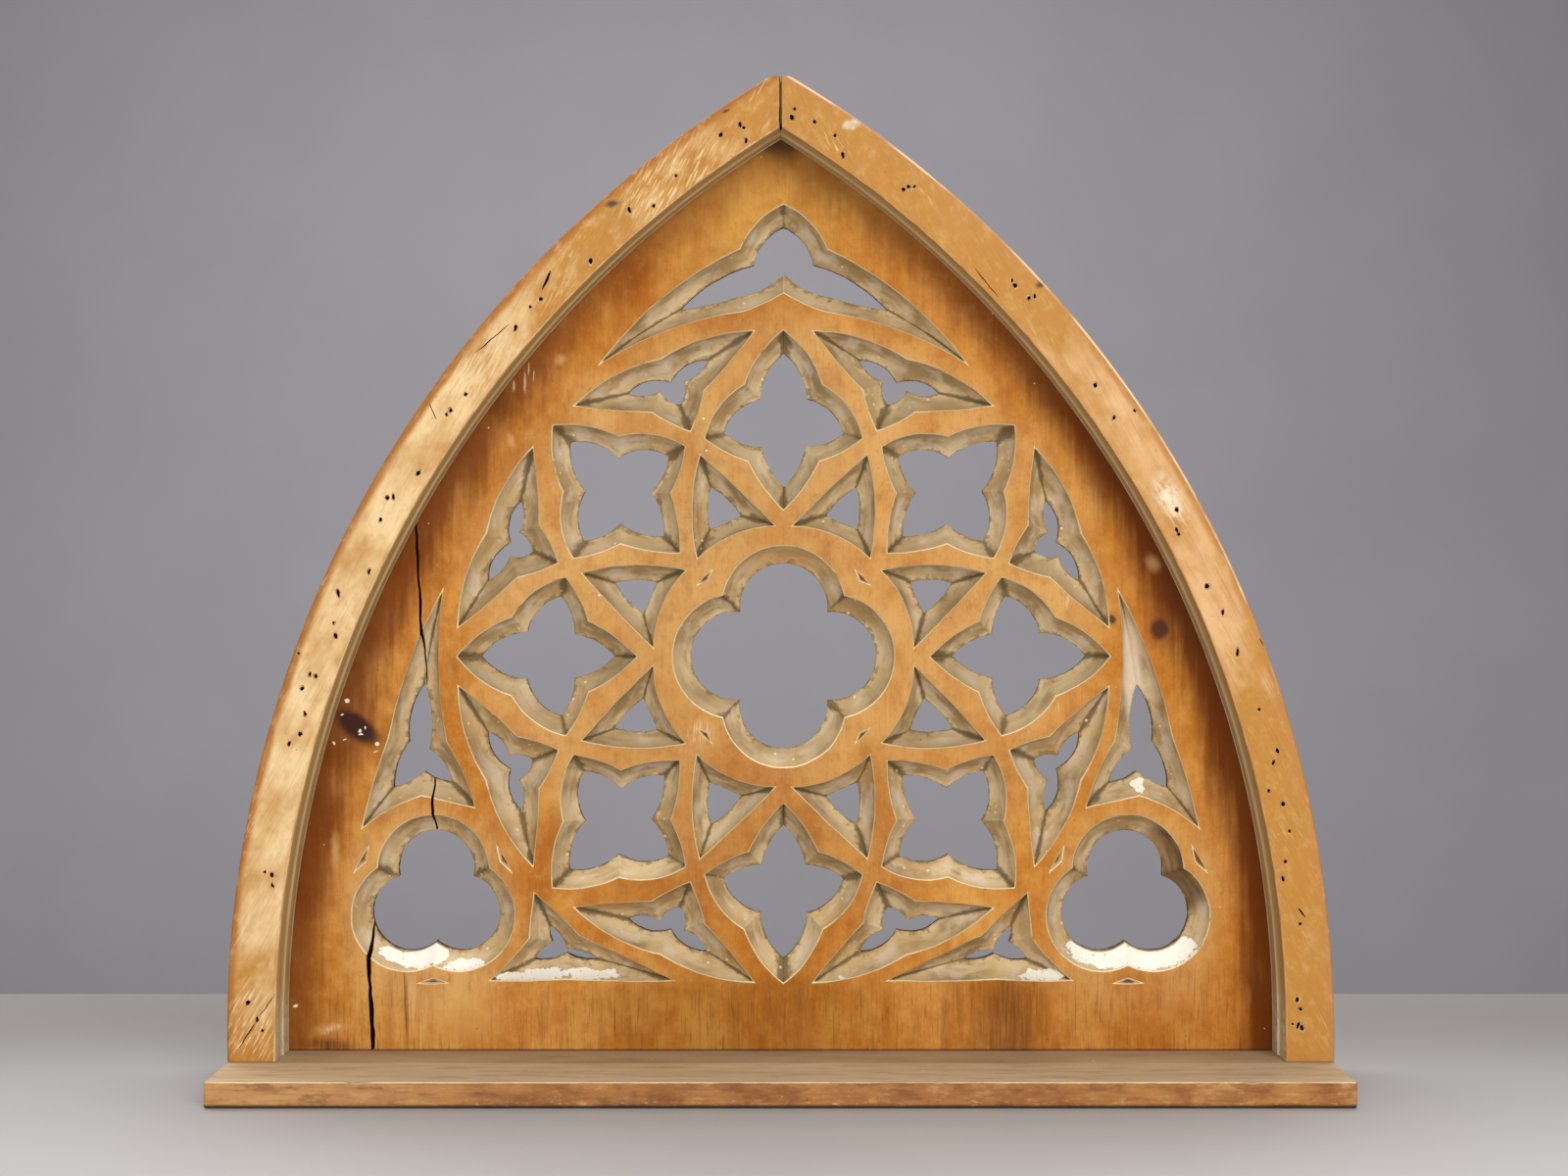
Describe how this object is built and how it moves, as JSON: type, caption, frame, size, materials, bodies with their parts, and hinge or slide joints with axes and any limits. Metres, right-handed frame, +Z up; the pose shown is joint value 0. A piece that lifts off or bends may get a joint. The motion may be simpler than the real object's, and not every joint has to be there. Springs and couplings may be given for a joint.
{
  "type": "carved tracery panel",
  "caption": "Pointed-arch carved pine tracery panel with a pierced rose, framed by curved mitred ribs and standing on a sill board.",
  "frame": {"origin": "on the table, under the middle of the sill board", "axes": "+X to the right seen from the front, +Y from the front to the back, +Z up to the peak"},
  "size_m": [1.088, 0.152, 0.9936],
  "materials": {
    "sill_wood": "worn bare pine, greyed on top",
    "rib_wood": "worn waxed pine",
    "panel_wood": "waxed honey pine, dull in the hollows"
  },
  "bodies": {
    "root": {"sill": "sill_wood", "left_rib": "rib_wood", "right_rib": "rib_wood", "tracery_panel": "panel_wood"}
  },
  "joints": []
}
